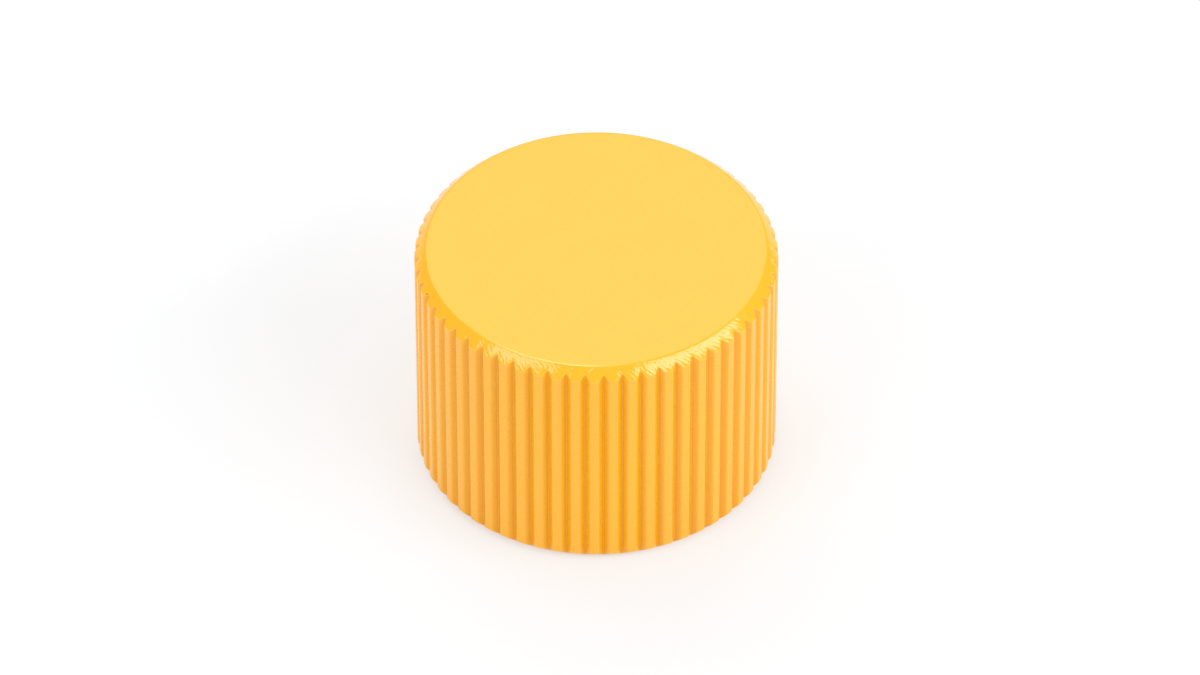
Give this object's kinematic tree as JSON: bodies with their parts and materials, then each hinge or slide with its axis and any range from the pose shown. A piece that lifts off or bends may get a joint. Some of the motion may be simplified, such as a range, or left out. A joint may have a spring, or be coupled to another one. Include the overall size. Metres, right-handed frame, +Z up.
{
  "type": "keyboard knob",
  "caption": "Short round metal knob for a keyboard's rotary encoder: flat top with a chamfer, straight V grooves all round the grip, blind shaft bore and a grub screw in the side.",
  "frame": {"origin": "centre of the underside, on the knob's axis", "axes": "+Z up along the knob's axis towards the top face, +Y towards the set screw"},
  "size_m": [0.019, 0.019, 0.0135],
  "materials": {
    "knob_paint": "satin yellow-orange coat on turned aluminium",
    "screw_steel": "black oxide on alloy steel"
  },
  "bodies": {
    "root": {"knob_body": "knob_paint", "set_screw": "screw_steel"}
  },
  "joints": []
}
